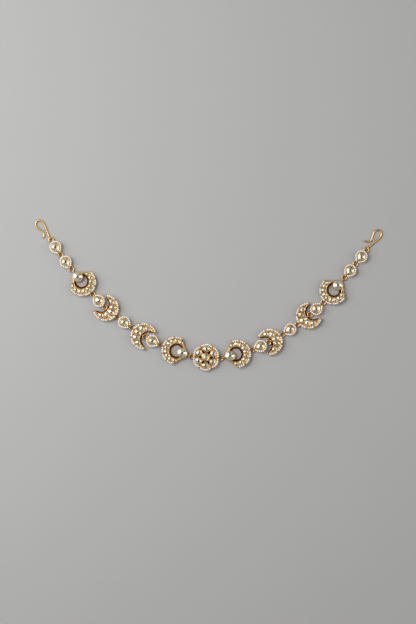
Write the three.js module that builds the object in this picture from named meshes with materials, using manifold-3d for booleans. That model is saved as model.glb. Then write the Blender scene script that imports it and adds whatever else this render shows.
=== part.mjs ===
// A forehead chain of gold settings, seed pearls and foiled stones, lying flat as it is laid out.
// A flower sits at the middle. Ring crescents, open crescents and pear drops follow outwards on
// both sides, joined by round jump rings, and a bent wire hook closes each end.
import * as THREE from "three";
import { mergeVertices } from "three/addons/utils/BufferGeometryUtils.js";
import Module from "manifold-3d";

const wasm = await Module();
wasm.setup();

// Driving dimensions, in millimetres and degrees
const CUP_HEIGHT = 3.2; // the gold settings, from their flat back to their rim
const STONE_SINK = 0.3; // how far a stone's girdle sits below the rim
const TABLE = 0.5; // a stone's flat table, as a share of its width
const CROWN = 0.65; // a small stone's height over the rim
const LONGEST = 1.35; // a band stone's length along the band, at most, over its width
const PEARL = 1.4; // a seed pearl's width
const PEARL_LEVEL = 3.05; // the middle of a row of pearls, over the back
const PEARL_GAP = 0.2; // between a row of pearls and the gold beside it
const LINK_LEVEL = 1.05; // the middle of a jump ring's wire, over the back
const FACETS = 8; // the facets round a cut stone's crown, and the sides of a row of pearls
const LINK = { radius: 1.65, wire: 0.8, sides: 5, segments: 10 };
const EYE = { radius: 0.85, wire: 0.4, sides: 5, steps: 6, root: 0.5 }; // root is inside the gold

// The flower: six scallops round a raised cup, with a lug between each two
const FLOWER = {
  heading: -3.4,
  petals: 6,
  scallopCentre: 3.9,
  scallopRadius: 4.5,
  scallopPoints: 5,
  linkReach: 10.5,
  eyeRoot: 7,
  pearlSteps: 20,
  petal: { at: 5.85, radial: 3.8, across: 4.5 },
  gap: { at: 4.3, radial: 1.9, across: 1.7 },
  cup: { radius: 2.75, points: 12, height: 4.3, stone: 3.5, table: 5.1 },
};

// The ring crescent: a closed band, wide at its back, with a big domed stone in its mouth
const RING_CRESCENT = {
  outer: 8.64,
  hole: 5.2,
  holeShift: 1.05,
  arm: 1.6,
  bandTo: 113,
  armFrom: 126,
  pearlsTo: 101,
  facets: { band: 14, arms: 7, hole: 14, pearls: 11 },
  stones: { count: 9, step: 26.5, wall: 0.45 },
  dome: { at: 5.2, radius: 3.75, tip: 4.15, rim: 0.42, points: 12, height: 3.6, table: 5.2 },
};

// The open crescent: two horns round a round mouth, where the next drop lies
const CRESCENT = {
  outer: 8.1,
  mouth: 6.2,
  mouthShift: 4.2,
  horn: 128,
  facets: { back: 18, front: 12, pearls: 13 },
  stones: { count: 5, step: 42, wall: 0.65 },
};

// The pear drop: one stone in a pointed round cup
const DROP = {
  radius: 3.0,
  tip: 4.3,
  rim: 0.75,
  points: 12,
  table: 4.0,
  openAtTip: 1.15,
  eyeRoot: 0.8,
  pearlSteps: 9,
};

// Where a unit's two jump rings lie on its own X axis: ahead of its middle and behind it
const REACH = {
  ring_crescent: { ahead: 11.15, behind: 12.3 },
  crescent: { ahead: 10.6, behind: 1.0 },
  drop: { ahead: 6.85, behind: 6.0 },
};

// The units outwards from the flower, with the way that each one's own X axis faces and its
// heading on the left and the right side, in degrees anticlockwise from the right
const UNITS = [
  { name: "inner_ring_crescent", kind: "ring_crescent", faces: "out", left: 159.9, right: 14.5 },
  { name: "inner_drop", kind: "drop", faces: "in", left: 153.1, right: 24.2 },
  { name: "inner_crescent", kind: "crescent", faces: "out", left: 144.8, right: 30.4 },
  { name: "middle_drop", kind: "drop", faces: "in", left: 143.5, right: 33.3 },
  { name: "outer_crescent", kind: "crescent", faces: "in", left: 141.3, right: 38.1 },
  { name: "outer_drop", kind: "drop", faces: "out", left: 133.8, right: 42.0 },
  { name: "outer_ring_crescent", kind: "ring_crescent", faces: "in", left: 130.0, right: 50.1 },
  { name: "first_end_drop", kind: "drop", faces: "in", left: 127.3, right: 50.8 },
  { name: "last_end_drop", kind: "drop", faces: "in", left: 122.5, right: 52.1 },
];

// The hook's wire, from its eye out along the shaft, round the bend and back to its curled tip
const HOOK = {
  wire: 1.3,
  sides: 6,
  steps: 20,
  level: 0.69,
  eyeSegments: 8,
  left: 121,
  right: 49,
  route: [
    { out: 2.4, aside: 0.0 },
    { out: 5.2, aside: -0.45 },
    { out: 8.7, aside: -1.0 },
    { out: 12.2, aside: -1.5 },
    { out: 14.9, aside: -1.35 },
    { out: 16.6, aside: -0.15 },
    { out: 17.0, aside: 1.8 },
    { out: 15.9, aside: 3.65 },
    { out: 13.8, aside: 4.2 },
    { out: 11.4, aside: 3.5 },
    { out: 9.0, aside: 2.4 },
    { out: 7.0, aside: 1.9 },
    { out: 5.2, aside: 2.8 },
    { out: 3.9, aside: 5.0 },
  ],
};

// Materials
const gold = new THREE.MeshStandardMaterial({ color: 0xd9a441, roughness: 0.3, metalness: 1 });
const pearl = new THREE.MeshStandardMaterial({ color: 0xf2e9dc, roughness: 0.35, metalness: 0 });

// Plain geometry
const radians = THREE.MathUtils.degToRad;
const polar = (radius, angle) =>
  new THREE.Vector2(radius * Math.cos(radians(angle)), radius * Math.sin(radians(angle)));
const spread = (from, to, steps) =>
  Array.from({ length: steps + 1 }, (_, i) => from + ((to - from) * i) / steps);
const lift = (points, z) => points.map((p) => new THREE.Vector3(p.x, p.y, z));

// A closed geometry as a solid that can be joined and cut.
function solidOf(geometry) {
  const bare = new THREE.BufferGeometry();
  bare.setAttribute("position", geometry.getAttribute("position"));
  if (geometry.index) bare.setIndex(geometry.index);
  const merged = mergeVertices(bare, 1e-4);
  return new wasm.Manifold(
    new wasm.Mesh({
      numProp: 3,
      vertProperties: merged.getAttribute("position").array,
      triVerts: new Uint32Array(merged.index.array),
    }),
  );
}

// A solid back as a geometry.
function geometryOf(solid) {
  const mesh = solid.getMesh();
  const geometry = new THREE.BufferGeometry();
  geometry.setAttribute("position", new THREE.BufferAttribute(mesh.vertProperties, 3));
  geometry.setIndex(new THREE.BufferAttribute(mesh.triVerts, 1));
  geometry.computeVertexNormals();
  return geometry;
}

// Several closed geometries joined into one solid, as solder joins them.
function solder(geometries) {
  return geometries.map(solidOf).reduce((sum, next) => sum.add(next));
}

// A closed skin through a stack of like outlines, from the lowest to the last, capped at both ends.
function stack(levels) {
  const n = levels[0].length;
  const position = levels.flatMap((ring) => ring.flatMap((p) => [p.x, p.y, p.z]));
  const index = [];
  for (let level = 0; level + 1 < levels.length; level++) {
    for (let i = 0; i < n; i++) {
      const a = level * n + i;
      const b = level * n + ((i + 1) % n);
      index.push(a, b, b + n, a, b + n, a + n);
    }
  }
  const cap = THREE.ShapeUtils.triangulateShape(levels[0], []);
  const top = (levels.length - 1) * n;
  for (const [a, b, c] of cap) index.push(c, b, a, top + a, top + b, top + c);
  const geometry = new THREE.BufferGeometry();
  geometry.setAttribute("position", new THREE.Float32BufferAttribute(position, 3));
  geometry.setIndex(index);
  return geometry;
}

// A round wire or row along a curve, with its ends closed.
function rod(curve, width, sides, steps) {
  const section = new THREE.Shape(spread(0, 360, sides).slice(0, -1).map((a) => polar(width / 2, a)));
  return new THREE.ExtrudeGeometry(section, { extrudePath: curve, steps, bevelEnabled: false });
}

// A plate of the given outline and holes, from the back up to a height.
function plate(outline, height, holes = []) {
  const shape = new THREE.Shape(outline);
  shape.holes = holes.map((hole) => new THREE.Path(hole));
  return new THREE.ExtrudeGeometry(shape, { depth: height, bevelEnabled: false });
}

// A cut stone with a flat table and a facet on each side, its middle at a distance along a direction.
function cutStone({ at, angle, radial, across, base, top }) {
  const geometry = new THREE.CylinderGeometry(TABLE, 1, top - base, FACETS);
  geometry.rotateX(Math.PI / 2);
  geometry.rotateZ(Math.PI / FACETS);
  geometry.scale(radial / 2, across / 2, 1);
  geometry.translate(at, 0, (base + top) / 2);
  geometry.rotateZ(radians(angle));
  return geometry;
}

// A wire eye that stands upright on a setting's edge, open towards it, round the wire of a jump
// ring whose middle is reach away.
function eye(reach, wall, angle) {
  const middle = reach - LINK.radius;
  const bow = spread(-90, 90, 4).map((a) => polar(EYE.radius, a));
  const points = [
    new THREE.Vector3(wall, 0, LINK_LEVEL - EYE.radius),
    ...bow.map((p) => new THREE.Vector3(middle + p.x, 0, LINK_LEVEL + p.y)),
    new THREE.Vector3(wall, 0, LINK_LEVEL + EYE.radius),
  ];
  const path = new THREE.CatmullRomCurve3(points, false, "catmullrom", 0.3);
  const geometry = rod(path, EYE.wire, EYE.sides, EYE.steps);
  geometry.rotateZ(radians(angle));
  return geometry;
}

// Outlines

// A pear with its round middle at the origin and its tip on the X axis. A larger or smaller scale
// keeps the same wall all round.
function pearOutline({ radius, tip, points }) {
  const open = THREE.MathUtils.radToDeg(Math.acos(radius / tip));
  const round = spread(open, 360 - open, points).map((a) => polar(radius, a));
  return [new THREE.Vector2(tip, 0), ...round];
}

// How far the edge of a circle lies from the origin in a direction, when the circle is shifted
// back along the X axis.
function shiftedEdge(radius, shift, angle) {
  const across = shift * Math.sin(radians(angle));
  return -shift * Math.cos(radians(angle)) + Math.sqrt(radius ** 2 - across ** 2);
}

// The scalloped edge of the flower, grown outwards by a margin.
function scallops(margin) {
  const { petals, scallopCentre: shift, scallopRadius, scallopPoints } = FLOWER;
  const wide = 180 / petals;
  return Array.from({ length: petals }, (_, i) => {
    const turns = spread(-wide, wide, scallopPoints).slice(0, -1);
    return turns.map((turn) =>
      polar(shiftedEdge(scallopRadius + margin, -shift, turn), (2 * i + 1) * wide + turn),
    );
  }).flat();
}

// Settings, each with its stones rubbed in and its eyes soldered on

// The stones of a crescent's band: each fills the space between the outer and the inner edge.
function bandStones({ outer, inner, shift, stones }) {
  const { count, step, wall } = stones;
  const half = (count - 1) / 2;
  return spread(-half, half, count - 1).map((place) => {
    const angle = place * step;
    const edge = shiftedEdge(inner, shift, angle);
    const at = (outer + edge) / 2;
    const radial = outer - edge - 2 * wall;
    const across = Math.min(radians(step) * at - wall, radial * LONGEST);
    return cutStone({
      at,
      angle,
      radial,
      across,
      base: CUP_HEIGHT - STONE_SINK,
      top: CUP_HEIGHT + CROWN,
    });
  });
}

// A pear cup with a rim and one stone that rises from inside it.
function pearCup({ radius, tip, rim, points, height, table }) {
  const outline = pearOutline({ radius, tip, points });
  const level = (inset, z) =>
    lift(outline.map((p) => p.clone().multiplyScalar((radius - inset) / radius)), z);
  return stack([
    level(0, 0),
    level(0, height),
    level(rim, height),
    level(rim, height - STONE_SINK),
    level(radius * (1 - TABLE), table),
  ]);
}

function flowerSetting() {
  const { petals, petal, gap, cup } = FLOWER;
  const turns = spread(0, 360, petals).slice(0, -1);
  const gaps = turns.map((turn) =>
    [0, 90, 180, 270].map((corner) => {
      const p = polar(1, corner);
      return new THREE.Vector2(gap.at + (p.x * gap.radial) / 2, (p.y * gap.across) / 2).rotateAround(
        new THREE.Vector2(),
        radians(turn),
      );
    }),
  );
  const stones = turns.map((turn) =>
    cutStone({
      ...petal,
      angle: turn + 180 / petals,
      base: CUP_HEIGHT - STONE_SINK,
      top: CUP_HEIGHT + CROWN,
    }),
  );
  const ring = (radius, z) =>
    lift(spread(0, 360, cup.points).slice(0, -1).map((a) => polar(radius, a)), z);
  const centre = stack([
    ring(cup.radius, CUP_HEIGHT - STONE_SINK),
    ring(cup.radius, cup.height),
    ring(cup.stone / 2, cup.height),
    ring(cup.stone / 2, cup.height - STONE_SINK),
    ring((cup.stone / 2) * TABLE, cup.table),
  ]);
  const eyes = [0, 180].map((angle) => eye(FLOWER.linkReach, FLOWER.eyeRoot, angle));
  return solder([plate(scallops(0), CUP_HEIGHT, gaps), ...stones, centre, ...eyes]);
}

function ringCrescentSetting() {
  const { outer, hole, holeShift, arm, armFrom, bandTo, facets, stones, dome } = RING_CRESCENT;
  const { ahead, behind } = REACH.ring_crescent;
  const band = spread(-bandTo, bandTo, facets.band).map((a) => polar(outer, a));
  const arms = spread(armFrom, 360 - armFrom, facets.arms).map((a) =>
    polar(shiftedEdge(hole + arm, holeShift, a), a),
  );
  const inside = spread(0, 360, facets.hole)
    .slice(1)
    .map((a) => polar(shiftedEdge(hole, holeShift, a), a));
  const domeCup = pearCup(dome);
  domeCup.rotateZ(Math.PI);
  domeCup.translate(-dome.at, 0, 0);
  return solder([
    plate([...band, ...arms], CUP_HEIGHT, [inside]),
    ...bandStones({ outer, inner: hole, shift: holeShift, stones }),
    domeCup,
    eye(ahead, outer - EYE.root, 0),
    eye(behind, dome.at + dome.radius - EYE.root, 180),
  ]);
}

function crescentSetting() {
  const { outer, mouth, mouthShift, horn, facets, stones } = CRESCENT;
  const { ahead, behind } = REACH.crescent;
  const back = spread(-horn, horn, facets.back).map((a) => polar(outer, a));
  const front = spread(horn, -horn, facets.front).map((a) => polar(shiftedEdge(mouth, mouthShift, a), a));
  return solder([
    plate([...back, ...front], CUP_HEIGHT),
    ...bandStones({ outer, inner: mouth, shift: mouthShift, stones }),
    eye(ahead, outer - EYE.root, 0),
    eye(behind, mouthShift - mouth - EYE.root, 180),
  ]);
}

function dropSetting() {
  const { ahead, behind } = REACH.drop;
  return solder([
    pearCup({ ...DROP, height: CUP_HEIGHT }),
    eye(ahead, DROP.tip - DROP.eyeRoot, 0),
    eye(behind, DROP.radius - EYE.root, 180),
  ]);
}

// Rows of seed pearls, each one round rod where its pearls are threaded

const besideWall = PEARL_GAP + PEARL / 2;
const row = (points, steps) =>
  rod(new THREE.CatmullRomCurve3(lift(points, PEARL_LEVEL)), PEARL, FACETS, steps);

function flowerPearls() {
  return row(scallops(besideWall).slice(1), FLOWER.pearlSteps);
}

function ringCrescentPearls() {
  const { outer, pearlsTo: end, facets } = RING_CRESCENT;
  return row(spread(-end, end, facets.band).map((a) => polar(outer + besideWall, a)), facets.pearls);
}

function crescentPearls() {
  const { outer, horn, facets } = CRESCENT;
  return row(spread(-horn, horn, facets.back).map((a) => polar(outer + besideWall, a)), facets.pearls);
}

function dropPearls() {
  const radius = DROP.radius + besideWall;
  const tip = (DROP.tip * radius) / DROP.radius;
  const [, ...round] = pearOutline({ radius, tip, points: DROP.points });
  const slope = Math.tan(Math.asin(radius / tip));
  const end = new THREE.Vector2(tip - DROP.openAtTip / slope, DROP.openAtTip);
  return row([end, ...round, new THREE.Vector2(end.x, -end.y)], DROP.pearlSteps);
}

// The hook's one wire, and the small eye at its foot that holds the last jump ring.
function hookSolid() {
  const foot = new THREE.TorusGeometry(EYE.radius, EYE.wire / 2, EYE.sides, HOOK.eyeSegments);
  foot.rotateX(Math.PI / 2);
  foot.translate(LINK.radius, 0, LINK_LEVEL);
  const points = HOOK.route.map(
    ({ out, aside }, i) => new THREE.Vector3(out, aside, i ? HOOK.level : LINK_LEVEL),
  );
  const shaft = rod(new THREE.CatmullRomCurve3(points), HOOK.wire, HOOK.sides, HOOK.steps);
  return solder([foot, shaft]);
}

// The chain

const shapes = {
  flower: { setting: geometryOf(flowerSetting()), pearls: flowerPearls() },
  ring_crescent: { setting: geometryOf(ringCrescentSetting()), pearls: ringCrescentPearls() },
  crescent: { setting: geometryOf(crescentSetting()), pearls: crescentPearls() },
  drop: { setting: geometryOf(dropSetting()), pearls: dropPearls() },
  hook: geometryOf(hookSolid()),
  link: new THREE.TorusGeometry(LINK.radius, LINK.wire / 2, LINK.sides, LINK.segments),
};

function named(name, geometry, material) {
  const mesh = new THREE.Mesh(geometry, material);
  mesh.name = name;
  return mesh;
}

// A setting and its pearls, turned together about their own middle.
function unit(name, kind, place, heading) {
  const group = new THREE.Group();
  group.add(named(name + "_setting", shapes[kind].setting, gold));
  group.add(named(name + "_pearls", shapes[kind].pearls, pearl));
  group.position.set(place.x, place.y, 0);
  group.rotation.z = radians(heading);
  return group;
}

// One side of the chain, from the flower's jump ring out to the hook.
function side(hand) {
  const group = new THREE.Group();
  const start = hand === "left" ? FLOWER.heading + 180 : FLOWER.heading;
  const at = polar(FLOWER.linkReach, start);
  UNITS.forEach(({ name, kind, faces, [hand]: heading }, i) => {
    addLink(group, hand, i + 1, at, heading);
    const outwards = faces === "out";
    const { ahead, behind } = REACH[kind];
    const place = at.clone().add(polar(outwards ? behind : ahead, heading));
    group.add(unit(hand + "_" + name, kind, place, outwards ? heading : heading + 180));
    at.add(polar(ahead + behind, heading));
  });
  addLink(group, hand, UNITS.length + 1, at, HOOK[hand]);
  const hook = named(hand + "_hook", shapes.hook, gold);
  hook.position.set(at.x, at.y, 0);
  hook.rotation.z = radians(HOOK[hand]);
  group.add(hook);
  return group;
}

function addLink(group, hand, number, at, heading) {
  const link = named(hand + "_jump_ring_" + number, shapes.link, gold);
  link.position.set(at.x, at.y, LINK_LEVEL);
  link.rotation.z = radians(heading);
  group.add(link);
}

const chain = new THREE.Group();
chain.add(unit("flower", "flower", new THREE.Vector2(), FLOWER.heading));
chain.add(side("left"), side("right"));

// The origin is under the middle of the whole chain, on the surface that it lies on
chain.updateMatrixWorld(true);
const middle = new THREE.Box3().setFromObject(chain, true).getCenter(new THREE.Vector3());
chain.position.set(-middle.x, -middle.y, 0);

const root = new THREE.Group();
root.add(chain);
export default root;
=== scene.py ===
"""A forehead chain of gold settings, foiled stones and seed pearls, laid flat on a pale floor.

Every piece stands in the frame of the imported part, in metres. The shapes are numpy surfaces: an
outline given by its radius in each direction, carried through the levels of a profile, or a
section carried along a path.
"""

import bpy
import numpy as np
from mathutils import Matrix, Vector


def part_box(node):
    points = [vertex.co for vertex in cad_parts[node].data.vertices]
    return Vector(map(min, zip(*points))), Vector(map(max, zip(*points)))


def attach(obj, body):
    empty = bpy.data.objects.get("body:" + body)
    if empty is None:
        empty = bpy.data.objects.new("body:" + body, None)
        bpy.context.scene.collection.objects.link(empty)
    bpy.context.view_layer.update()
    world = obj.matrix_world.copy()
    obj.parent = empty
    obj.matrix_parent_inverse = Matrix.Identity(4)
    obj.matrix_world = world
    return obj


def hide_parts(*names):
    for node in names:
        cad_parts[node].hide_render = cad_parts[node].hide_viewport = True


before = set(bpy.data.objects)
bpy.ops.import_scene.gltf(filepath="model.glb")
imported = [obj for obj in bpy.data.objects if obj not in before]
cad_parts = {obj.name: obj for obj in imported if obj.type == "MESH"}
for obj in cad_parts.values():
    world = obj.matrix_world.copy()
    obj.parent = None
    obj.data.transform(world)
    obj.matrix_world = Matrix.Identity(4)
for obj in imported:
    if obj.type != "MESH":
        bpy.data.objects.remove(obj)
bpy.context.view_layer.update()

bl_info = {
    "name": "Forehead Chain",
    "version": (1, 0, 0),
    "blender": (4, 5, 0),
    "location": "3D View > Sidebar > Forehead Chain",
    "description": "Builds a jointed forehead chain of gold, foiled stones and seed pearls",
    "category": "Add Mesh",
}

MM = 0.001
TAU = 2 * np.pi
UP = (0, 0, 1)
TINY = 1e-6  # keeps a divisor off zero, and tells a view from straight above
SEED = 11
MARK = "mark"  # its one attribute: painted shade in gold and pearls, a pearl's own tone, or a facet's painted reflection

# The units outwards from the flower, with the way that each one's own X axis faces
UNITS = [
    {"name": "inner_ring_crescent", "kind": "ring_crescent", "faces": "out"},
    {"name": "inner_drop", "kind": "drop", "faces": "in"},
    {"name": "inner_crescent", "kind": "crescent", "faces": "out"},
    {"name": "middle_drop", "kind": "drop", "faces": "in"},
    {"name": "outer_crescent", "kind": "crescent", "faces": "in"},
    {"name": "outer_drop", "kind": "drop", "faces": "out"},
    {"name": "outer_ring_crescent", "kind": "ring_crescent", "faces": "in"},
    {"name": "first_end_drop", "kind": "drop", "faces": "in"},
    {"name": "last_end_drop", "kind": "drop", "faces": "in"},
]
HANDS = ("left", "right")
RINGS = len(UNITS) + 1

# The hook's wire in its own plane: out from its jump ring along the shaft, and aside of it
HOOK_ROUTE = [
    {"out": 2.4, "aside": 0.0},
    {"out": 5.2, "aside": -0.45},
    {"out": 8.7, "aside": -1.0},
    {"out": 12.2, "aside": -1.5},
    {"out": 14.75, "aside": -1.25},
    {"out": 16.36, "aside": -0.1},
    {"out": 16.84, "aside": 1.76},
    {"out": 15.8, "aside": 3.54},
    {"out": 13.8, "aside": 4.06},
    {"out": 11.4, "aside": 3.5},
    {"out": 9.0, "aside": 2.4},
    {"out": 7.0, "aside": 1.9},
    {"out": 5.2, "aside": 2.8},
]
HOOK_TIPS = {"left": {"out": 4.4, "aside": 4.5}, "right": {"out": 3.6, "aside": 6.1}}

# A cup's wall, from the back up and over the rim down to the stone's seat: how far out as a share
# of the wall, the height as a share of the cup's less a drop in millimetres, the share of the
# rim's beads that it follows, and its mark, a painted shade that is darkest at the seat and back
CUP_WALL = [
    {"out": 0.80, "share": 0.0, "drop": 0.0, "beads": 0.0, "mark": 0.8},
    {"out": 1.00, "share": 0.0, "drop": -0.1, "beads": 0.0, "mark": 0.75},
    {"out": 1.00, "share": 0.45, "drop": 0.0, "beads": 0.0, "mark": 0.55},
    {"out": 1.00, "share": 1.0, "drop": 0.42, "beads": 0.0, "mark": 0.25},
    {"out": 0.98, "share": 1.0, "drop": 0.20, "beads": 1.0, "mark": 0.05},
    {"out": 0.82, "share": 1.0, "drop": 0.04, "beads": 1.0, "mark": 0.0},
    {"out": 0.60, "share": 1.0, "drop": 0.0, "beads": 0.3, "mark": 0.0},
    {"out": 0.34, "share": 1.0, "drop": 0.01, "beads": 0.0, "mark": 0.0},
    {"out": 0.12, "share": 1.0, "drop": 0.12, "beads": 0.0, "mark": 0.15},
    {"out": -0.06, "share": 1.0, "drop": 0.26, "beads": 0.0, "mark": 0.6},
    {"out": -0.25, "share": 1.0, "drop": 0.5, "beads": 0.0, "mark": 1.0},
]

# A band's inner wall from the back up, and its outer wall down again: how far in, as a share of
# the hole's slope for the one and in millimetres for the other, then the height and mark as above,
# the mark a painted shade that darkens the walls towards the back
INNER_WALL = [
    {"in": 1.0, "share": 0.0, "drop": 0.0, "mark": 0.95},
    {"in": 0.55, "share": 0.45, "drop": 0.0, "mark": 0.9},
    {"in": 0.14, "share": 1.0, "drop": 0.5, "mark": 0.6},
]
OUTER_WALL = [
    {"in": 0.0, "share": 1.0, "drop": 0.46, "mark": 0.3},
    {"in": 0.0, "share": 0.45, "drop": 0.0, "mark": 0.55},
    {"in": 0.0, "share": 0.0, "drop": -0.12, "mark": 0.75},
    {"in": 0.12, "share": 0.0, "drop": 0.0, "mark": 0.8},
]

# The ridges on a band's top, in millimetres: how far each crest lies from its edge, how wide the
# ridge is and how tall. The ground counts as one, at its full height from GROUND_FROM off a stone.
RIDGES = {
    "stone": {"crest": 0.2, "width": 0.24, "tall": 0.45},
    "outer": {"crest": 0.22, "width": 0.2, "tall": 0.4},
    "inner": {"crest": 0.25, "width": 0.24, "tall": 0.42},
    "ground": {"crest": 0.0, "width": 0.45, "tall": 0.34},
}
GROUND_FROM = 1.1 * MM
RIDGE_BEADS = 0.3  # how much the beads of the outer ridge swing, as a share of its height
RIDGE_JOIN = 4  # the power at which ridges are joined
RIDGE_FADE = 2.6  # how fast the painted shade of a recess fades as a ridge rises, per millimetre
CREST = 0.46 * MM  # the height over the low ground that counts as the rim's
SEAT = {"run": 0.2 * MM, "drop": 0.35 * MM}  # how soon and how far the gold falls under a stone
LONGEST = 1.35  # a band stone's size along the band, at most, for its size across
FAR = 1.0  # further than any edge

# The cuts of stones: the slopes of the two tiers, the outline's share at the main points and at the
# table, how many main points, and the least tone of the facets and of the table, where the tones
# are painted reflections
FLAT_CUT = {
    "slopes": np.radians((31, 21)),
    "rings": (0.78, 0.40),
    "mains": 8,
    "tone": 0.0,
    "table_dark_reflection": 0.9,
}
DOME_CUT = {
    "slopes": np.radians((36, 23)),
    "rings": (0.76, 0.32),
    "mains": 10,
    "tone": -0.3,
    "table_dark_reflection": 0.8,
}
STONE_FOOT = {"sink": 0.25 * MM, "share": 0.9}  # a stone's foot, under its girdle inside the gold

# The pearls of a row: fit sets how many fill a stretch, each is a little longer than its share of
# the stretch, and the swings make their sizes and tones differ. The shade is what a pearl's mark
# gains from its top down to its middle.
ROW = {
    "fit": 0.93,
    "overlap": 1.05,
    "width": 0.975,
    "width_swing": 0.03,
    "length_swing": 0.02,
    "rise_swing": 0.05 * MM,
    "tone_swing": 0.24,
    "shade": 0.48,
}
SHADE_POWER = 1.5
# The thread's mark is a painted shade, for the wire deep between the pearls
THREAD = {"every": 3, "mark": 0.4}  # the thread's wire takes every third point of the row's line

# A lug: how far it lies inside and below the row's line, how tall it is for its width, its mark
# (a painted shade, as it sits between the pearls), its points, and the power that makes it blocky
LUG = {
    "inwards": 0.15 * MM,
    "below": 0.1 * MM,
    "tall": 1.1,
    "mark": 0.38,
    "columns": 16,
    "rows": 10,
    "power": 0.7,
}
EYE_SHADE = 0.6  # an eye's painted shade at its far end, inside the jump ring
RING_SHADE = 0.75  # a jump ring's painted shade at its inner side, round its hole
END_SHARE = 0.02  # the smallest section of a round end, as a share of the whole section's area

# Into how many steps and sides the shapes are divided
STEPS = {
    "flower": 600,
    "flower_across": 52,
    "ring_crescent": 420,
    "crescent": 320,
    "across": 34,
    "cup": 96,
    "dome_cup": 288,
    "drop_cup": 252,
    "row": 721,
    "edge_row": 361,
    "oval": 721,
    "bow": 17,
    "eye_run": 4,
    "hook_span": 14,
    "hook_eye": 28,
    "ring": 36,
}
SIDES = {"thread": 6, "eye": 10, "ring": 12, "hook": 14}

# The materials' own values
EDGE_GOLD = (0.70, 0.27, 0.09)  # gold seen along its surface
FLOOR_SHADE = 0.9  # the floor's darker patches, as a share of its grey
BROAD_DETAIL = 2.0  # of the two noises
FINE_DETAIL = 3.0
FINER = 4.0  # the fine noise's scale for the broad one's
BUMP_DEPTH = 0.2 * MM

# The stage: the photograph in pixels, the camera's sensor in millimetres and the rest in metres
PHOTO = {"wide": 416, "high": 624}
SENSOR = 36.0
SIGHT = 20.0  # how far the camera sees
FLOOR_HALF = 3.0
ROOM = {"Color": (1, 0.98, 0.94, 1), "Strength": 0.22}

# A lamp stands at an azimuth, in degrees, and leans that way from straight above
LAMPS = [
    {"name": "left_softbox", "power": "left_light", "size": (0.62, 0.84), "azimuth": 166,
     "lean": 47, "distance": 0.8},
    {"name": "right_softbox", "power": "right_light", "size": (0.9, 1.3), "azimuth": 0,
     "lean": 47, "distance": 1.3},
    {"name": "upper_left_lamp", "power": "key_light", "size": (0.22, 0.22), "azimuth": 140,
     "lean": 32, "distance": 1.0},
]


def number(name, value, description, **kind):
    """A number that a user may change."""
    return bpy.props.FloatProperty(name=name, description=description, default=value, **kind)


def length(name, millimetres, description):
    """A size that a user may change, given in millimetres and kept in metres."""
    return number(name, millimetres * MM, description, unit="LENGTH", precision=5)


def angle(name, degrees, description):
    """An angle that a user may change, given in degrees and kept in radians."""
    return number(name, np.radians(degrees), description, subtype="ANGLE")


def share(name, value, description):
    """A share from 0 to 1 that a user may change."""
    return number(name, value, description, subtype="FACTOR", min=0.0, max=1.0)


def count(name, value, description):
    """A whole number that a user may change."""
    return bpy.props.IntProperty(name=name, description=description, default=value, min=1)


def colour(name, value, description):
    """A colour that a user may change."""
    return bpy.props.FloatVectorProperty(
        name=name, description=description, default=value, size=3, min=0.0, max=1.0, subtype="COLOR"
    )


class CommonSizes(bpy.types.PropertyGroup):
    """Sizes that all the settings share"""

    height: length("Height", 3.2, "From the flat back to the rim of a setting")
    pearl: length("Pearl", 1.56, "A seed pearl's width")
    pearl_level: length("Pearl level", 3.05, "The middle of a row of pearls, over the back")
    pearl_gap: length("Pearl gap", -0.08, "Between a row of pearls and the gold beside it")
    thread: length("Thread", 0.2, "The fine wire that the pearls are threaded on")
    lug_long: length("Lug length", 1.8, "A lug that ties the row of pearls, across the row")
    lug_wide: length("Lug width", 1.15, "The same lug along the row")
    bead: length("Bead", 0.42, "One grain of the beaded edge along a rim")
    taper: share("Taper", 0.12, "How much wider a stone in a band is outwards")
    sink: length("Stone sink", 0.22, "From a rim down to the girdle of its stone")
    cup_sink: length("Pear stone sink", 0.2, "The same in a pear cup")


class LinkSizes(bpy.types.PropertyGroup):
    """Sizes of the jump rings and of the eyes that they pass through"""

    radius: length("Ring radius", 1.62, "From a jump ring's middle to the middle of its wire")
    wire: length("Ring wire", 1.15, "A jump ring's wire")
    eye_radius: length("Eye radius", 0.85, "Of an eye's bow, to the middle of its strap")
    eye_thick: length("Eye thickness", 0.4, "Of an eye's strap")
    eye_wide: length("Eye width", 1.15, "Of an eye's strap")
    root: length("Root", 0.5, "How far an eye's ends lie inside the gold")


class FlowerSizes(bpy.types.PropertyGroup):
    """Sizes of the flower"""

    petals: count("Petals", 6, "Oval stones round the cup")
    at: length("Petal place", 5.85, "From the flower's middle to a petal's")
    radial: length("Petal length", 3.7, "A petal stone outwards")
    across: length("Petal width", 4.5, "A petal stone across")
    gap_at: length("Gap place", 4.3, "From the flower's middle to an openwork gap's")
    gap_radial: length("Gap length", 1.75, "An openwork gap outwards")
    gap_across: length("Gap width", 1.55, "An openwork gap across")
    gap_slope: length("Gap slope", 1.9, "How much narrower an openwork gap is at the back")
    cup: length("Cup radius", 2.6, "The raised cup, between its points")
    cup_point: length("Cup point", 0.25, "How far the cup's points stand out")
    cup_lap: length("Cup lap", 0.2, "How far the plate goes in under the cup")
    cup_stone: length("Cup stone", 3.4, "The round stone's width")
    cup_height: length("Cup height", 4.3, "The raised cup's rim, over the back")
    scallop_shift: length("Scallop place", 3.9, "From the flower's middle to a scallop's")
    scallop: length("Scallop radius", 4.5, "Of a scallop of the edge")
    reach: length("Reach", 10.5, "From the flower's middle to a jump ring's")
    eye_root: length("Eye root", 7.0, "Where the two eyes end, from the flower's middle")


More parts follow.
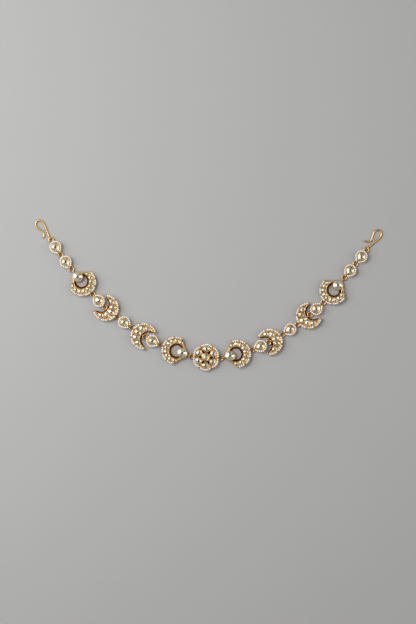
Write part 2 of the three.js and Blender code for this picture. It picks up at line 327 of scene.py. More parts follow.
class RingCrescentSizes(bpy.types.PropertyGroup):
    """Sizes of the ring crescent"""

    outer: length("Outer radius", 8.64, "Of the gold band")
    hole: length("Hole radius", 5.4, "Of the round hole")
    shift: length("Hole shift", 0.95, "How far the hole lies towards the domed stone")
    slope: length("Hole slope", 1.4, "How much narrower the hole is at the back")
    arm: length("Arm", 1.25, "Width of the band beside the domed stone")
    pearls_to: angle("Pearls to", 101.0, "The last lug, from the back, to either side")
    band_to: angle("Band to", 111.0, "Where the band starts to narrow, from the back")
    arm_from: angle("Arm from", 129.0, "Where the band has narrowed to an arm")
    stones: count("Stones", 9, "Small stones in the band")
    step: angle("Step", 26.5, "Between two stones")
    wall: length("Wall", 0.45, "Between a stone and the band's edge or the next stone")
    lugs: count("Lugs", 3, "Lugs on either side of the one at the back")
    lug_step: angle("Lug step", 33.0, "Between two lugs")
    dome_at: length("Dome place", 5.2, "From the middle to the domed stone's")
    dome: length("Dome radius", 3.65, "Of the domed stone's cup")
    dome_tip: length("Dome tip", 4.15, "From the domed stone's middle to its cup's tip")
    dome_height: length("Dome height", 3.6, "The domed stone's rim, over the back")
    dome_rim: length("Dome rim", 0.42, "The thin gold wall round the domed stone")
    dome_bead: length("Dome beads", 0.03, "How tall the beads on that wall are")
    ahead: length("Reach ahead", 11.15, "From the middle to the jump ring at the back of the band")
    behind: length("Reach behind", 12.3, "From the middle to the jump ring at the domed stone")


class CrescentSizes(bpy.types.PropertyGroup):
    """Sizes of the open crescent"""

    outer: length("Outer radius", 8.1, "Of the gold")
    mouth: length("Mouth radius", 6.2, "Of the round mouth")
    shift: length("Mouth shift", 4.2, "How far the mouth lies off the middle")
    slope: length("Mouth slope", 1.25, "How much narrower the mouth is at the back")
    horn: angle("Horn", 128.0, "The horns' tips, from the back, to either side")
    tip_wide: length("Tip width", 0.25, "The least width of the gold, at the horns' tips")
    fade: length("Slope fade", 1.0, "The mouth's slope fades where the gold is narrower than this")
    stones: count("Stones", 5, "Stones in the crescent")
    step: angle("Step", 42.0, "Between two stones")
    wall: length("Wall", 0.65, "Between a stone and the edge or the next stone")
    lug_first: angle("First lug", 40.0, "The first lug from the back")
    lug_second: angle("Second lug", 79.0, "The second lug from the back")
    ahead: length("Reach ahead", 10.6, "From the middle to the jump ring at the back")
    behind: length("Reach behind", 1.0, "From the middle to the jump ring in the mouth")


class DropSizes(bpy.types.PropertyGroup):
    """Sizes of the pear drop"""

    radius: length("Radius", 3.0, "Of the round end of the cup")
    tip: length("Tip", 4.3, "From the middle of the round end to the tip")
    rim: length("Rim", 0.75, "The beaded gold wall round the stone")
    bead: length("Beads", 0.06, "How tall the beads on the rim are")
    tip_root: length("Tip root", 0.8, "How far the eye at the tip goes into the gold")
    row_tip: length("Row's tip", 5.95, "From the middle to where the row of pearls would meet")
    open_tip: length("Open at the tip", 0.8, "Half the gap in the row of pearls at the tip")
    pearl_gap: length("Pearl gap", 0.04, "Between the row of pearls and the cup")
    pearls: count("Pearls", 17, "Seed pearls round the drop")
    ahead: length("Reach ahead", 6.85, "From the middle to the jump ring at the tip")
    behind: length("Reach behind", 6.0, "From the middle to the jump ring at the round end")


class HookSizes(bpy.types.PropertyGroup):
    """Sizes of the hooks"""

    wire: length("Wire", 1.22, "The hook's wire")
    level: length("Level", 0.69, "The middle of the lying wire, over the back")
    left: angle("Left heading", 121.0, "The left shaft, anticlockwise from the right")
    right: angle("Right heading", 49.0, "The right shaft, anticlockwise from the right")


class Finishes(bpy.types.PropertyGroup):
    """Colours of the materials"""

    gold: colour("Gold", (0.75, 0.49, 0.21), "Warm yellow gold")
    # Painted shade: the gold's dark tone in recesses, down walls, in eyes, ring holes, thread and
    # lugs
    recess: colour("Recess", (0.22, 0.06, 0.014), "Reddish gold in the recesses")
    pearl_light: colour("Light pearl", (1.0, 0.955, 0.86), "The whitest seed pearls")
    # Both the warmest pearls' own tone and the painted shade at every pearl's sides
    pearl_warm_and_shade: colour("Warm pearl", (0.60, 0.39, 0.19), "The warmest seed pearls")
    # Painted reflections: each facet is mixed at random between these two, the table towards the
    # deep one
    stone_light: colour("Light facet", (0.96, 0.915, 0.75), "A facet that shows the foil")
    stone_deep: colour("Deep facet", (0.19, 0.14, 0.04), "A facet that looks into the stone")
    floor: colour("Floor", (0.42, 0.42, 0.418), "The pale grey floor")


class StageSizes(bpy.types.PropertyGroup):
    """The camera and the light"""

    pixel: length("Pixel", 0.72, "What one pixel of the photograph measures on the floor")
    lens: number("Lens", 120.0, "Focal length in millimetres", unit="CAMERA")
    flower_right: number("Flower right", 206.0, "The flower's middle, pixels from the left")
    flower_down: number("Flower down", 357.2, "The flower's middle, pixels from the top")
    left_light: number("Left light", 5.15, "Power of the left softbox", unit="POWER")
    right_light: number("Right light", 4.85, "Power of the right softbox", unit="POWER")
    key_light: number("Key light", 2.6, "Power of the small upper left lamp", unit="POWER")


class ChainSettings(bpy.types.PropertyGroup):
    """Everything that shapes the forehead chain"""

    common: bpy.props.PointerProperty(type=CommonSizes)
    link: bpy.props.PointerProperty(type=LinkSizes)
    flower: bpy.props.PointerProperty(type=FlowerSizes)
    ring_crescent: bpy.props.PointerProperty(type=RingCrescentSizes)
    crescent: bpy.props.PointerProperty(type=CrescentSizes)
    drop: bpy.props.PointerProperty(type=DropSizes)
    hook: bpy.props.PointerProperty(type=HookSizes)
    finish: bpy.props.PointerProperty(type=Finishes)
    stage: bpy.props.PointerProperty(type=StageSizes)


# Forms: closed surfaces gathered into one mesh


def lattice(rows, columns, wrap):
    """The quads of a grid of points: each row closes on itself, and each column does if wrap."""
    row = np.arange(rows if wrap else rows - 1)[:, None]
    column = np.arange(columns)[None, :]
    here, above = row * columns, (row + 1) % rows * columns
    beside = (column + 1) % columns
    quads = [here + column, here + beside, above + beside, above + column]
    return np.stack(quads, -1).reshape(-1, 4)


def fan(pole, ring):
    """Triangles from one point to each side of a ring of points."""
    return np.stack([np.full(len(ring), pole), ring, np.roll(ring, -1)], -1)


class Form:
    """Closed shells that become one mesh. Each shell's faces are turned to point outwards."""

    def __init__(self):
        self.shells = []

    def add(self, points, quads, triangles, mark, smooth=True):
        """Adds a shell. Its volume, the sum of tetrahedra from the origin, has to be positive."""
        split = [quads[:, :3], quads[:, [0, 2, 3]], triangles]
        a, b, c = (points[np.concatenate(split)][:, i] for i in range(3))
        if np.einsum("ij,ij->", a, np.cross(b, c)) < 0:
            quads, triangles = quads[:, ::-1], triangles[:, ::-1]
        self.shells.append((points, quads, triangles, mark, smooth))

    def skin(self, grid, mark=0.0, wrap=False):
        """Adds a grid of points, rows by columns by xyz, as a tube that is closed at its two ends
        by a fan, or into a ring if wrap."""
        rows, columns, _ = grid.shape
        points, none = grid.reshape(-1, 3), np.zeros((0, 3), int)
        mark = np.broadcast_to(mark, (rows, columns))
        if wrap:
            self.add(points, lattice(rows, columns, True), none, mark.ravel())
            return
        first, last = np.arange(columns), np.arange(columns) + (rows - 1) * columns
        poles = np.stack([grid[0].mean(0), grid[-1].mean(0)])
        ends = [fan(len(points), first[::-1]), fan(len(points) + 1, last)]
        marks = np.concatenate([mark.ravel(), [mark[0].mean(), mark[-1].mean()]])
        quads = lattice(rows, columns, False)
        self.add(np.concatenate([points, poles]), quads, np.concatenate(ends), marks)

    def placed(self, origin, heading):
        """The same form turned about the Z axis and moved: x cos a - y sin a, x sin a + y cos a."""
        cos, sin = np.cos(heading), np.sin(heading)
        turn = np.array([[cos, sin, 0], [-sin, cos, 0], [0, 0, 1]])
        form = Form()
        form.shells = [(s[0] @ turn + origin, *s[1:]) for s in self.shells]
        return form


def build(name, form, slot, nodes, facets=False):
    """Puts a form into a mesh object that rides on the part and stands for the given nodes. A
    facet's mark, its painted reflection, is its tone t grown by chance: t + (1 - t) c^2, with c
    drawn from 0 to 1."""
    starts = np.cumsum([0] + [len(s[0]) for s in form.shells])
    quads = np.concatenate([s[1] + n for s, n in zip(form.shells, starts)])
    triangles = np.concatenate([s[2] + n for s, n in zip(form.shells, starts)])
    smooth = [np.full(len(s[i]), s[4]) for i in (1, 2) for s in form.shells]
    tones = [s[3][s[i]].max(1) for i in (1, 2) for s in form.shells]
    points = np.concatenate([s[0] for s in form.shells])
    corners = np.concatenate([quads.ravel(), triangles.ravel()])
    face_starts = np.concatenate(
        [np.arange(len(quads)) * 4, quads.size + np.arange(len(triangles)) * 3]
    )
    mesh = bpy.data.meshes.new(name)
    mesh.vertices.add(len(points))
    mesh.vertices.foreach_set("co", points.astype(np.float32).ravel())
    mesh.loops.add(len(corners))
    mesh.loops.foreach_set("vertex_index", corners.astype(np.int32))
    mesh.polygons.add(len(face_starts))
    mesh.polygons.foreach_set("loop_start", face_starts.astype(np.int32))
    mesh.polygons.foreach_set("use_smooth", np.concatenate(smooth))
    marks = np.concatenate([s[3] for s in form.shells])
    if facets:
        tones = np.concatenate(tones)
        marks = tones + (1 - tones) * np.random.default_rng(SEED).random(len(face_starts)) ** 2
    attribute = mesh.attributes.new(MARK, "FLOAT", "FACE" if facets else "POINT")
    attribute.data.foreach_set("value", marks.astype(np.float32))
    mesh.update(calc_edges=True)
    mesh.materials.append(MATERIALS[slot]())
    piece = bpy.data.objects.new(name, mesh)
    bpy.context.scene.collection.objects.link(piece)
    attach(piece, "root")
    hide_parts(*nodes)


# Outlines: the radius of a shape in each direction


def circle(radius):
    """A round outline: the same radius everywhere."""
    return lambda turn: np.full_like(turn, radius)


def oval(radial, across, taper):
    """An oval outline with half sizes a and b: x = a cos t and y = b sin t (1 + taper cos t), read
    off by its direction."""
    t = np.linspace(-np.pi, np.pi, STEPS["oval"])
    x, y = radial / 2 * np.cos(t), across / 2 * np.sin(t) * (1 + taper * np.cos(t))
    direction = np.unwrap(np.arctan2(y, x))
    return lambda turn: np.interp(
        np.arctan2(np.sin(turn), np.cos(turn)), direction, np.hypot(x, y)
    )


def pear(radius, tip, soft=0.12):
    """A circle with two tangents that meet at a tip on the X axis. Within acos(radius / tip) of
    the axis the radius is radius / cos(opening - turn), with the tip softened a little."""
    opening = np.arccos(radius / tip)

    def outline(turn):
        aside = np.abs(np.arctan2(np.sin(turn), np.cos(turn)))
        return radius / np.cos(np.maximum(opening - np.hypot(aside, soft), 0))

    return outline


def pointed(radius, point, points, soft=0.45):
    """A circle with small points: radius + point (1 - |sin(n t / 2)|) ^ (1 / soft)."""
    return lambda turn: radius + point * (1 - np.abs(np.sin(points * turn / 2))) ** (1 / soft)


def shifted_edge(radius, shift, turn):
    """How far the edge of a circle lies from the origin in a direction, when the circle is shifted
    back along the X axis: -s cos t + sqrt(r^2 - (s sin t)^2)."""
    return -shift * np.cos(turn) + np.sqrt(radius**2 - (shift * np.sin(turn)) ** 2)


def scalloped(sizes, margin):
    """The flower's edge grown by a margin: each sixth is a circle shifted out to its petal."""
    sixth = TAU / sizes.petals

    def outline(turn):
        inside = np.mod(turn, sixth) - sixth / 2
        return shifted_edge(sizes.scallop + margin, -sizes.scallop_shift, inside)

    return outline


def polar(radius, turn):
    """Points at the given radius and direction."""
    return np.stack([radius * np.cos(turn), radius * np.sin(turn)], -1)


def run_of(path):
    """How far along a path each of its points lies."""
    return np.concatenate([[0], np.cumsum(np.linalg.norm(np.diff(path, axis=0), axis=1))])


def columns_of(table):
    """The columns of a table of named values, each as an array."""
    return {key: np.array([row[key] for row in table]) for key in table[0]}


def levels_of(wall, height):
    """How high the levels of a wall lie: a share of the height, less a drop."""
    return wall["share"] * height - wall["drop"] * MM


# Shapes in a unit's own frame


def carry(form, path, up, half_sizes, sides, wrap=False, round_ends=True, mark=0.0):
    """Carries an oval section along a path: p + a cos v s + b sin v u, where s lies across the path
    and across up, and u is square to both. Round ends shrink the section by a quarter circle."""
    ahead = np.roll(path, -1, 0) - np.roll(path, 1, 0) if wrap else np.gradient(path, axis=0)
    ahead = ahead / np.linalg.norm(ahead, axis=1)[:, None]
    side = np.cross(ahead, up)
    side = side / np.linalg.norm(side, axis=1)[:, None]
    top = np.cross(side, ahead)
    size = np.ones(len(path))
    if round_ends and not wrap:
        run = run_of(path)
        to_end = np.minimum(run, run[-1] - run) / max(half_sizes)
        size = np.sqrt(np.clip(1 - (1 - np.minimum(to_end, 1)) ** 2, END_SHARE, 1))
    turn = np.linspace(0, TAU, sides, endpoint=False)
    across = half_sizes[0] * np.cos(turn)[None, :, None] * side[:, None, :]
    upward = half_sizes[1] * np.sin(turn)[None, :, None] * top[:, None, :]
    form.skin(path[:, None, :] + size[:, None, None] * (across + upward), mark, wrap)


def cup(form, outline, wall, height, bead, middle=(0, 0), heading=0.0, grain=0.0, steps="cup"):
    """A gold cup round a stone: the outline scaled by 1 + out / mean radius, through the levels of
    CUP_WALL. Beads lift its rim by grain (|cos| - 1/2) as it goes round."""
    turn = np.linspace(0, TAU, STEPS[steps], endpoint=False)
    radius = outline(turn)
    mean = radius.mean()
    lifted = grain * (np.abs(np.cos(turn * round(TAU * mean / bead) / 2)) - 0.5)
    level = columns_of(CUP_WALL)
    scaled = radius * (1 + level["out"][:, None] * wall / mean)
    z = levels_of(level, height)[:, None] + level["beads"][:, None] * lifted
    flat = polar(scaled, turn + heading) + np.asarray(middle)
    form.skin(np.concatenate([flat, z[..., None]], -1), level["mark"][:, None])


def stone(form, outline, girdle, cut, middle=(0, 0), heading=0.0):
    """A cut stone: a girdle of 2n points, n main points above every other one and n table points
    between those, at the outline scaled by 1 and by rings, each tier rising with its own slope. The
    facets' tones are painted reflection, and the table, which looks straight down into the stone,
    gets a deeper painted dark than the other facets."""
    slopes, rings, mains = cut["slopes"], cut["rings"], cut["mains"]
    turn = np.linspace(0, TAU, 2 * mains, endpoint=False)
    radius = outline(turn)
    mean = radius.mean()
    main_z = girdle + (1 - rings[0]) * mean * np.tan(slopes[0])
    table_z = main_z + (rings[0] - rings[1]) * mean * np.tan(slopes[1])
    foot = girdle - STONE_FOOT["sink"]
    flat = [
        (polar(radius * STONE_FOOT["share"], turn + heading), np.full(2 * mains, foot)),
        (polar(radius, turn + heading), np.full(2 * mains, girdle)),
        (polar(rings[0] * radius[::2], turn[::2] + heading), np.full(mains, main_z)),
        (polar(rings[1] * radius[1::2], turn[1::2] + heading), np.full(mains, table_z)),
        (np.zeros((2, 2)), np.array([foot, table_z])),
    ]
    points = np.concatenate([np.column_stack([p + np.asarray(middle), z]) for p, z in flat])
    k = np.arange(mains)
    after = (k + 1) % mains
    g, g_mid, g_next = 2 * mains + 2 * k, 2 * mains + 2 * k + 1, 2 * mains + 2 * after
    main, table = 4 * mains + k, 5 * mains + k
    bottom, top = 6 * mains, 6 * mains + 1
    triangles = np.concatenate(
        [
            np.stack([g, g_mid, main], -1),
            np.stack([g_mid, g_next, 4 * mains + after], -1),
            np.stack([g_mid, 4 * mains + after, main], -1),
            np.stack([main, 4 * mains + after, table], -1),
            np.stack([main, table, np.roll(table, 1)], -1),
            fan(top, table),
            fan(bottom, np.arange(2 * mains)[::-1]),
        ]
    )
    # Painted reflection: the facets' least tones, with the table's deeper
    tones = np.full(len(points), cut["tone"])
    tones[top] = cut["table_dark_reflection"]
    form.add(points, lattice(2, 2 * mains, False), triangles, tones, smooth=False)


def ovals(form, centres, half_sizes, headings, marks, columns=10, rows=6, power=1.0, shade=0.0):
    """Rounded beads: (a cos v cos u, b cos v sin u, c sin v) turned by a heading and moved, with a
    single point at each pole. A power under 1, on each sine and cosine, makes them blockier. The
    mark grows by shade from the top of a bead down to its middle."""

    def bent(value):
        return np.sign(value) * np.abs(value) ** power

    u = np.linspace(0, TAU, columns, endpoint=False)
    v = np.linspace(-np.pi / 2, np.pi / 2, rows + 1)[1:-1, None]
    x, y = bent(np.cos(v)) * bent(np.cos(u)), bent(np.cos(v)) * bent(np.sin(u))
    ring = np.stack([x, y, bent(np.sin(v)) + 0 * u], -1)
    ball = np.concatenate([ring.reshape(-1, 3), [[0, 0, -1], [0, 0, 1]]])
    local = ball[None] * half_sizes[:, None, :]
    cos, sin = np.cos(headings)[:, None], np.sin(headings)[:, None]
    x, y = local[..., 0], local[..., 1]
    points = np.stack([x * cos - y * sin, x * sin + y * cos, local[..., 2]], -1) + centres[:, None]
    quads = lattice(rows - 1, columns, False)
    pole = (rows - 1) * columns
    caps = [fan(pole, np.arange(columns)[::-1]), fan(pole + 1, np.arange(pole - columns, pole))]
    offset = np.arange(len(centres))[:, None, None] * len(ball)
    shades = shade * (1 - np.clip(ball[:, 2], 0, 1)) ** SHADE_POWER
    form.add(
        points.reshape(-1, 3),
        (quads + offset).reshape(-1, 4),
        (np.concatenate(caps) + offset).reshape(-1, 3),
        np.repeat(marks, len(ball)) + np.tile(shades, len(marks)),
    )


def eye(form, link, reach, wall, turn, level):
    """An upright strap open towards the gold: a straight run, a half circle and a straight run
    back, round the wire of the jump ring whose middle is reach away."""
    middle = reach - link.radius
    bow = np.linspace(-np.pi / 2, np.pi / 2, STEPS["bow"])
    run = np.linspace(wall, middle, STEPS["eye_run"], endpoint=False)
    x = np.concatenate([run, middle + link.eye_radius * np.cos(bow), run[::-1]])
    up = np.concatenate([np.full(len(run), -1.0), np.sin(bow), np.full(len(run), 1.0)])
    path = np.column_stack([polar(x, turn), up * link.eye_radius + level])
    across = np.array([-np.sin(turn), np.cos(turn), 0])
    # Painted shade: an eye darkens towards its bow, inside the jump ring
    deep = np.clip((x - wall) / (x.max() - wall), 0, 1)[:, None] * EYE_SHADE
    strap = (link.eye_thick / 2, link.eye_wide / 2)
    carry(form, path, across, strap, SIDES["eye"], round_ends=False, mark=deep)


def band_stones(sizes, inner):
    """Where the stones of a band lie: each fills the space between the outer and inner edge."""
    turn = (np.arange(sizes.stones) - (sizes.stones - 1) / 2) * sizes.step
    edge = shifted_edge(inner, sizes.shift, turn)
    at = (sizes.outer + edge) / 2
    radial = sizes.outer - edge - 2 * sizes.wall
    across = np.minimum(sizes.step * at - sizes.wall, radial * LONGEST)
    return turn, at, radial, across


def band(form, turn, inside, outside, stones, common, slope, wrap, steps="across"):
    """A gold band round a hole or a mouth. Its top is a relief: a low ground with a rounded ridge
    round each stone and along both edges, the outer one beaded. The ridges are Gaussians of the
    distance d to an edge, joined by the fourth root of the sum of their fourth powers. An oval
    stone's edge lies (q - 1) / |grad q| away, with q = (u / a)^2 + (v / b (1 + taper u / a))^2."""
    t = turn[:, None]
    low, high = inside[:, None], outside[:, None]
    r = low + (high - low) * np.linspace(0, 1, STEPS[steps])
    distance = np.full(r.shape, FAR)
    for s_turn, at, radial, wide in zip(*stones):
        u = r * np.cos(t - s_turn) - at
        v = r * np.sin(t - s_turn)
        a = radial / 2
        b = wide / 2 * (1 + common.taper * np.clip(u / a, -1, 1))
        q = (u / a) ** 2 + (v / b) ** 2
        grad = 2 * np.sqrt(u**2 / a**4 + v**2 / b**4) + TINY
        distance = np.minimum(distance, np.where(np.cos(t - s_turn) > 0, (q - 1) / grad, FAR))

    def ridge(edge, to_edge):
        sizes = RIDGES[edge]
        return sizes["tall"] * np.exp(-(((to_edge / MM - sizes["crest"]) / sizes["width"]) ** 2))

    beads = 1 + RIDGE_BEADS * np.cos(t * np.round(outside.max() * TAU / common.bead))
    ridges = [
        ridge("stone", distance),
        ridge("outer", high - r) * beads,
        ridge("inner", r - low),
        ridge("ground", np.maximum(GROUND_FROM - distance, 0)),
    ]
    raised = sum(x**RIDGE_JOIN for x in ridges) ** (1 / RIDGE_JOIN)
    # Painted shade: the low ground and the gold under a stone's edge are darkened, less as a ridge
    # rises
    sunk = np.clip(-distance / SEAT["run"], 0, 1)
    top = common.height + raised * MM - CREST - SEAT["drop"] * sunk
    recess = np.clip(1 - RIDGE_FADE * raised + sunk, 0, 1)
    inner, outer = columns_of(INNER_WALL), columns_of(OUTER_WALL)
    rings = [
        (low - inner["in"] * slope, levels_of(inner, common.height), inner["mark"]),
        (r, top, recess),
        (high - outer["in"] * MM, levels_of(outer, common.height), outer["mark"]),
    ]
    whole = [np.broadcast_arrays(*ring) for ring in rings]
    radius, z, mark = (np.concatenate(parts, 1) for parts in zip(*whole))
    radius = np.maximum(radius, 0)
    form.skin(np.concatenate([polar(radius, t), z[..., None]], -1), mark, wrap)


def thread_pearls(gold, pearls, path, lugs, common, pearl_count=None):
    """A row along a flat path: a fine wire, a gold lug at each given distance, and as many pearls
    as fill each stretch between two lugs, each as long as its share of the stretch. Pearls differ a
    little in size and tone."""
    run = run_of(path)
    level, half = common.pearl_level, common.lug_wide / 2
    wire = np.column_stack([path, np.full(len(path), level)])[:: THREAD["every"]]
    carry(gold, wire, UP, (common.thread / 2,) * 2, SIDES["thread"], mark=THREAD["mark"])
    stretches = zip(lugs[:-1] + half, lugs[1:] - half) if len(lugs) else [(0, run[-1])]
    places, shares = [], []
    for start, end in stretches:
        n = pearl_count or max(1, round((end - start) / (common.pearl * ROW["fit"])))
        places.append(start + (end - start) * (np.arange(n) + 0.5) / n)
        shares.append(np.full(n, (end - start) / n / common.pearl))
    at, filled = np.concatenate(places), np.concatenate(shares)
    chance = np.random.default_rng(SEED + len(at))
    spread = chance.uniform(-1, 1, (len(at), 3))
    x, y = (np.interp(at, run, path[:, i]) for i in (0, 1))
    centres = np.column_stack([x, y, level + ROW["rise_swing"] * spread[:, 0]])
    wide = common.pearl / 2 * (ROW["width"] + ROW["width_swing"] * spread[:, 1])
    along = wide * ROW["overlap"] * filled * (1 + ROW["length_swing"] * spread[:, 2])
    ahead = np.arctan2(*(np.interp(at, run, np.gradient(path[:, i])) for i in (1, 0)))
    tones = ROW["tone_swing"] * chance.random(len(at))
    halves = np.column_stack([along, wide, wide])
    ovals(pearls, centres, halves, ahead, tones, shade=ROW["shade"])
    if len(lugs):
        x, y = (np.interp(lugs, run, path[:, i]) for i in (0, 1))
        sideways = (-np.gradient(path[:, 0]), np.gradient(path[:, 1]))
        out = np.arctan2(*(np.interp(lugs, run, slope) for slope in sideways))
        x, y = x - LUG["inwards"] * np.cos(out), y - LUG["inwards"] * np.sin(out)
        centres = np.column_stack([x, y, np.full(len(x), level - LUG["below"])])
        halves = np.tile((common.lug_long / 2, half, half * LUG["tall"]), (len(x), 1))
        marks = np.full(len(x), LUG["mark"])
        ovals(gold, centres, halves, out, marks, LUG["columns"], LUG["rows"], LUG["power"])


def trio():
    """Three empty forms, for a unit's gold, its stones and its pearls."""
    return {"gold": Form(), "stones": Form(), "pearls": Form()}


def flower_forms(s):
    """A scalloped plate with six petal stones and six openwork gaps, and a raised, pointed cup."""
    forms, common, sizes = trio(), s.common, s.flower
    sixth = TAU / sizes.petals
    turn = np.linspace(0, TAU, STEPS["flower"], endpoint=False)
    off = np.mod(turn + sixth / 2, sixth) - sixth / 2
    aside = sizes.gap_at * np.sin(off) / (sizes.gap_across / 2)
    far = sizes.gap_at * np.cos(off) + sizes.gap_radial / 2 * np.sqrt(np.clip(1 - aside**2, 0, 1))
    inside = np.where(np.abs(aside) < 1, far, sizes.cup - sizes.cup_lap)
    outside = scalloped(sizes, 0)(turn)
    petals = (np.arange(sizes.petals) + 0.5) * sixth
    equal = (np.full(sizes.petals, x) for x in (sizes.at, sizes.radial, sizes.across))
    stones = (petals, *equal)
    gold, slope = forms["gold"], sizes.gap_slope
    band(gold, turn, inside, outside, stones, common, slope, True, "flower_across")
    set_band_stones(forms["stones"], stones, common)
    rim = pointed(sizes.cup, sizes.cup_point, sizes.petals)
    round_stone = circle(sizes.cup_stone / 2)

    def cup_edge(turn):
        return round_stone(turn) * rim(turn + petals[0]) / sizes.cup

    wall, height = sizes.cup - sizes.cup_stone / 2, sizes.cup_height
    cup(gold, cup_edge, wall, height, common.bead, heading=petals[0])
    stone(forms["stones"], round_stone, height - common.sink, FLAT_CUT, heading=petals[0])
    for side in (0, np.pi):
        eye(gold, s.link, sizes.reach, sizes.eye_root, side, s.link_level)
    turn = np.linspace(0, TAU, STEPS["row"])
    path = polar(scalloped(sizes, common.pearl_gap + common.pearl / 2)(turn), turn)
    lugs = np.interp(np.arange(sizes.petals + 1) * sixth, turn, run_of(path))
    thread_pearls(gold, forms["pearls"], path, lugs, common)
    return forms


def ring_crescent_forms(s):
    """A closed band with nine stones round a hole, and a domed stone in a pear cup in its mouth."""
    forms, common, sizes = trio(), s.common, s.ring_crescent
    gold, stones = forms["gold"], band_stones(sizes, sizes.hole)
    turn = np.linspace(-np.pi, np.pi, STEPS["ring_crescent"], endpoint=False)
    inside = shifted_edge(sizes.hole, sizes.shift, turn)
    arm = shifted_edge(sizes.hole + sizes.arm, sizes.shift, turn)
    from_arm = np.clip((np.abs(turn) - sizes.band_to) / (sizes.arm_from - sizes.band_to), 0, 1)
    blend = from_arm**2 * (3 - 2 * from_arm)
    outside = sizes.outer + (arm - sizes.outer) * blend
    band(gold, turn, inside, outside, stones, common, sizes.slope, True)
    set_band_stones(forms["stones"], stones, common)
    rim, height, middle = sizes.dome_rim, sizes.dome_height, (-sizes.dome_at, 0)
    dome = pear(sizes.dome - rim, sizes.dome_tip * (1 - rim / sizes.dome))
    cup(gold, dome, rim, height, common.bead, middle, np.pi, sizes.dome_bead, "dome_cup")
    stone(forms["stones"], dome, height - common.cup_sink, DOME_CUT, middle, np.pi)
    eye(gold, s.link, sizes.ahead, sizes.outer - s.link.root, 0, s.link_level)
    root = sizes.dome_at + sizes.dome - s.link.root
    eye(gold, s.link, sizes.behind, root, np.pi, s.link_level)
    lugs = np.arange(-sizes.lugs, sizes.lugs + 1) * sizes.lug_step
    lugs[[0, -1]] = -sizes.pearls_to, sizes.pearls_to
    edge_pearls(forms, sizes.outer, lugs, common)
    return forms


def set_band_stones(form, stones, common):
    """The stones of a band, each with its long side along its own direction."""
    for turn, at, radial, across in zip(*stones):
        middle = polar(at, turn)
        shape = oval(radial, across, common.taper)
        stone(form, shape, common.height - common.sink, FLAT_CUT, middle, turn)


def edge_pearls(forms, outer, lugs, common):
    """A row of pearls round the outer edge of a band, from its first lug to its last."""
    turn = np.linspace(lugs[0], lugs[-1], STEPS["edge_row"])
    radius = outer + common.pearl_gap + common.pearl / 2
    path = polar(radius, turn)
    thread_pearls(forms["gold"], forms["pearls"], path, (lugs - lugs[0]) * radius, common)


def crescent_forms(s):
    """Two horns round a mouth, with five stones."""
    forms, common, sizes = trio(), s.common, s.crescent
    gold, stones = forms["gold"], band_stones(sizes, sizes.mouth)
    turn = np.linspace(-sizes.horn, sizes.horn, STEPS["crescent"])
    inside = shifted_edge(sizes.mouth, sizes.shift, turn)
    outside = np.maximum(sizes.outer, inside + sizes.tip_wide)
    slope = sizes.slope * np.minimum(1, (outside - inside) / sizes.fade)[:, None]
    band(gold, turn, inside, outside, stones, common, slope, False)
    set_band_stones(forms["stones"], stones, common)
    eye(gold, s.link, sizes.ahead, sizes.outer - s.link.root, 0, s.link_level)
    root = sizes.shift - sizes.mouth - s.link.root
    eye(gold, s.link, sizes.behind, root, np.pi, s.link_level)
    side = [sizes.lug_first, sizes.lug_second, sizes.horn]
    lugs = np.array([-x for x in side[::-1]] + [0.0] + side)
    edge_pearls(forms, sizes.outer, lugs, common)
    return forms


def drop_forms(s):
    """One pear stone in a beaded cup, with a row of pearls that is open at the tip."""
    forms, common, sizes = trio(), s.common, s.drop
    gold, ratio = forms["gold"], 1 - sizes.rim / sizes.radius
    shape, height = pear(sizes.radius * ratio, sizes.tip * ratio), common.height
    cup(gold, shape, sizes.rim, height, common.bead, grain=sizes.bead, steps="drop_cup")
    stone(forms["stones"], shape, height - common.cup_sink, FLAT_CUT)
    eye(gold, s.link, sizes.ahead, sizes.tip - sizes.tip_root, 0, s.link_level)
    eye(gold, s.link, sizes.behind, sizes.radius - s.link.root, np.pi, s.link_level)
    row = pear(sizes.radius + sizes.pearl_gap + common.pearl / 2, sizes.row_tip)
    turn = np.linspace(0, TAU, STEPS["row"])
    path = polar(row(turn), turn)
    kept = (np.abs(path[:, 1]) > sizes.open_tip) | (path[:, 0] < 0)
    thread_pearls(gold, forms["pearls"], path[kept], [], common, sizes.pearls)
    return forms


def smooth_path(points, steps):
    """A centripetal Catmull-Rom curve: cubic spans whose end slopes come from the neighbouring
    points, timed by the square root of their distances."""
    whole = np.concatenate([[2 * points[0] - points[1]], points, [2 * points[-1] - points[-2]]])
    gaps = np.sqrt(np.linalg.norm(np.diff(whole, axis=0), axis=1))[:, None]
    before, span, after = gaps[:-2], gaps[1:-1], gaps[2:]
    p0, p1, p2, p3 = whole[:-3], whole[1:-2], whole[2:-1], whole[3:]
    m1 = span * ((p1 - p0) / before - (p2 - p0) / (before + span) + (p2 - p1) / span)
    m2 = span * ((p2 - p1) / span - (p3 - p1) / (span + after) + (p3 - p2) / after)
    t = np.linspace(0, 1, steps, endpoint=False)[None, :, None]
    h = [2 * t**3 - 3 * t**2 + 1, t**3 - 2 * t**2 + t, 3 * t**2 - 2 * t**3, t**3 - t**2]
    spans = h[0] * p1[:, None] + h[1] * m1[:, None] + h[2] * p2[:, None] + h[3] * m2[:, None]
    return np.concatenate([spans.reshape(-1, 3), points[-1:]])


